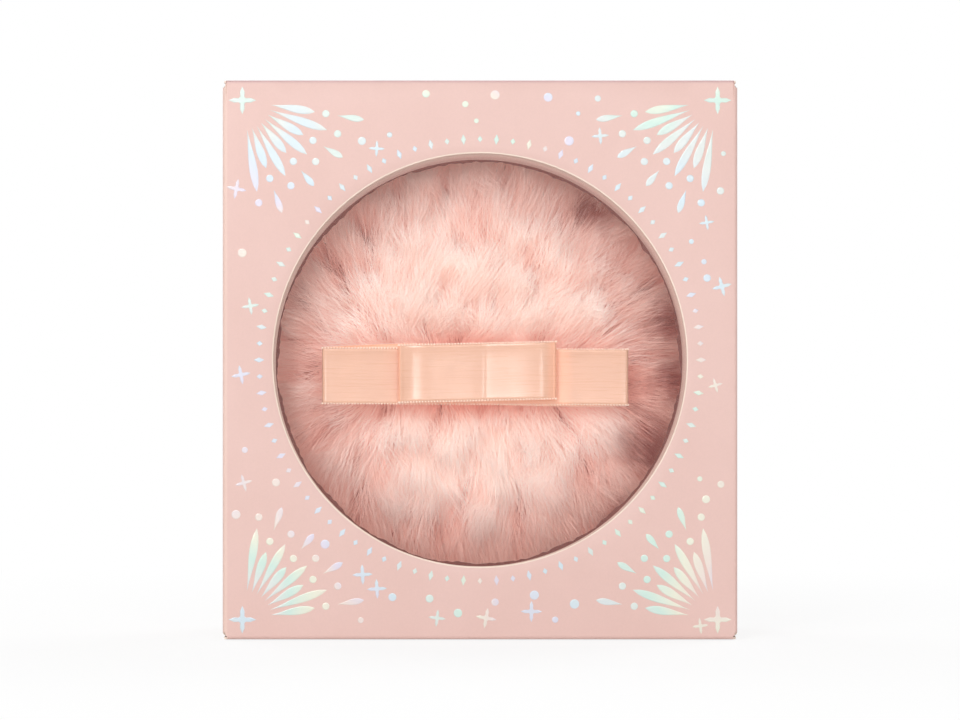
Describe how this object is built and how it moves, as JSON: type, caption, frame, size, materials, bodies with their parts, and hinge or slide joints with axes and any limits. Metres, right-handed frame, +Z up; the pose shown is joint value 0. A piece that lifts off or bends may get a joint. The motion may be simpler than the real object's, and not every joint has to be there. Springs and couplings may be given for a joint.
{
  "type": "powder puff",
  "caption": "Round plush powder puff with a flat satin ribbon bow, standing in an upright tuck-end carton with a round film window.",
  "frame": {"origin": "middle of the carton's underside, on the surface it stands on", "axes": "+Z up, the window faces -Y, +X to the right seen from the window side"},
  "size_m": [0.117, 0.045, 0.127],
  "materials": {
    "carton_board": "smooth pink coated board with a dull sheen",
    "inner_ply": "unprinted greige board",
    "foil_print": "pale holographic foil stamping",
    "window_film": "clear polyester film",
    "plush": "soft long-pile plush",
    "wadding": "loose polyester wadding",
    "thread": "matt sewing thread",
    "satin": "peach satin ribbon"
  },
  "bodies": {
    "carton": {"front_panel": "carton_board", "back_panel": "carton_board", "left_side_panel": "carton_board", "right_side_panel": "carton_board", "glue_flap": "carton_board", "window_film": "window_film", "window_liner": "inner_ply"},
    "puff": {"puff_front_plush": "plush", "puff_back_plush": "plush", "puff_filling": "wadding", "puff_seam_thread": "thread", "ribbon_long_loop": "satin", "ribbon_short_loop": "satin", "ribbon_tack_thread": "thread"},
    "top_lid": {"top_lid": "carton_board"},
    "top_tab": {"top_tuck_tab": "carton_board"},
    "top_flap_left": {"top_dust_flap_left": "carton_board"},
    "top_flap_right": {"top_dust_flap_right": "carton_board"},
    "bottom_lid": {"bottom_lid": "carton_board"},
    "bottom_tab": {"bottom_tuck_tab": "carton_board"},
    "bottom_flap_left": {"bottom_dust_flap_left": "carton_board"},
    "bottom_flap_right": {"bottom_dust_flap_right": "carton_board"}
  },
  "joints": [
    {"name": "top_lid_crease", "type": "hinge", "parent": "carton", "child": "top_lid", "pos_m": [0, 0.0225, 0.127], "axis": [-1, 0, 0], "range_deg": [0, 250]},
    {"name": "top_tab_crease", "type": "hinge", "parent": "top_lid", "child": "top_tab", "pos_m": [0, -0.02, 0.1265], "axis": [1, 0, 0], "range_deg": [0, 45]},
    {"name": "top_flap_left_crease", "type": "hinge", "parent": "carton", "child": "top_flap_left", "pos_m": [-0.0585, 0, 0.1262], "axis": [0, -1, 0], "range_deg": [0, 180]},
    {"name": "top_flap_right_crease", "type": "hinge", "parent": "carton", "child": "top_flap_right", "pos_m": [0.0585, 0, 0.1262], "axis": [0, 1, 0], "range_deg": [0, 180]},
    {"name": "bottom_lid_crease", "type": "hinge", "parent": "carton", "child": "bottom_lid", "pos_m": [0, -0.0225, 0], "axis": [-1, 0, 0], "range_deg": [0, 180]},
    {"name": "bottom_tab_crease", "type": "hinge", "parent": "bottom_lid", "child": "bottom_tab", "pos_m": [0, 0.02, 0.0005], "axis": [1, 0, 0], "range_deg": [0, 45]},
    {"name": "bottom_flap_left_crease", "type": "hinge", "parent": "carton", "child": "bottom_flap_left", "pos_m": [-0.0585, 0, 0.0008], "axis": [0, 1, 0], "range_deg": [0, 130]},
    {"name": "bottom_flap_right_crease", "type": "hinge", "parent": "carton", "child": "bottom_flap_right", "pos_m": [0.0585, 0, 0.0008], "axis": [0, -1, 0], "range_deg": [0, 130]},
    {"name": "puff_lift", "type": "slide", "parent": "carton", "child": "puff", "axis": [0, 0, 1], "range_m": [0, 0.131]}
  ],
  "couplings": [
    {"joint": "top_lid_crease", "follows": "puff_lift", "rad_per_m": 33.3},
    {"joint": "top_flap_left_crease", "follows": "puff_lift", "rad_per_m": 23.65},
    {"joint": "top_flap_right_crease", "follows": "puff_lift", "rad_per_m": 23.65},
    {"joint": "bottom_flap_left_crease", "follows": "bottom_lid_crease", "ratio": 0.71},
    {"joint": "bottom_flap_right_crease", "follows": "bottom_lid_crease", "ratio": 0.71}
  ]
}
